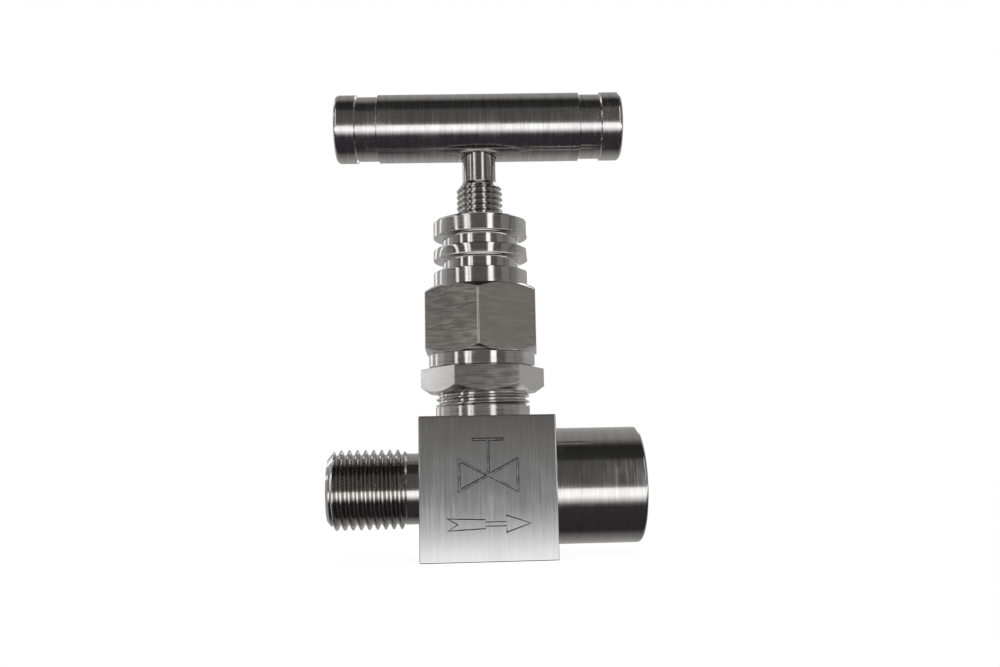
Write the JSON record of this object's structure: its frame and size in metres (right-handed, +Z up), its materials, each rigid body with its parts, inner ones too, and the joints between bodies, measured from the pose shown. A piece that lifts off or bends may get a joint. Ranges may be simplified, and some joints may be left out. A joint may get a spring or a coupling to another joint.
{
  "type": "needle valve",
  "caption": "Straight stainless needle valve: square block, male pipe thread inlet, female pipe thread outlet, locked hexagon bonnet and T-bar handle.",
  "frame": {"origin": "on the block's flat underside, straight below the stem axis", "axes": "+X is the flow direction, out of the female outlet; +Z runs up the stem; the engraved face looks along -Y"},
  "size_m": [0.0518, 0.0228, 0.0793],
  "materials": {
    "block_steel": "stainless bar, brushed faces, turned ends",
    "nut_steel": "stainless, satin flats",
    "bonnet_steel": "stainless, bright turned rings, satin flats",
    "stem_steel": "stainless, turned",
    "handle_steel": "stainless, fine turned and polished",
    "screw_steel": "dark alloy steel",
    "needle_steel": "hardened stainless, ground cone",
    "ball_steel": "polished bearing ball",
    "retainer_steel": "spring steel",
    "washer_steel": "stainless, flat",
    "gland_steel": "stainless, turned",
    "packing": "white fluoropolymer"
  },
  "bodies": {
    "body": {"valve_body": "block_steel", "lock_nut": "nut_steel", "bonnet": "bonnet_steel", "lower_packing_washer": "washer_steel", "packing_male_ring": "packing", "packing_ring_1": "packing", "packing_ring_2": "packing", "packing_ring_3": "packing", "packing_female_ring": "packing", "upper_packing_washer": "washer_steel", "gland_follower": "gland_steel"},
    "needle": {"needle": "needle_steel", "thrust_ball": "ball_steel"},
    "stem": {"stem": "stem_steel", "needle_retainer": "retainer_steel", "handle_bar": "handle_steel", "handle_set_screw": "screw_steel"}
  },
  "joints": [
    {"name": "stem_lift", "type": "slide", "parent": "body", "child": "needle", "axis": [0, 0, 1], "range_m": [-0.00275, 0.00225]},
    {"name": "stem_turn", "type": "hinge", "parent": "needle", "child": "stem", "pos_m": [0, 0, 0.06], "axis": [0, 0, 1], "range_deg": [-990, 810]}
  ],
  "couplings": [
    {"joint": "stem_turn", "follows": "stem_lift", "rad_per_m": 6283.2}
  ]
}
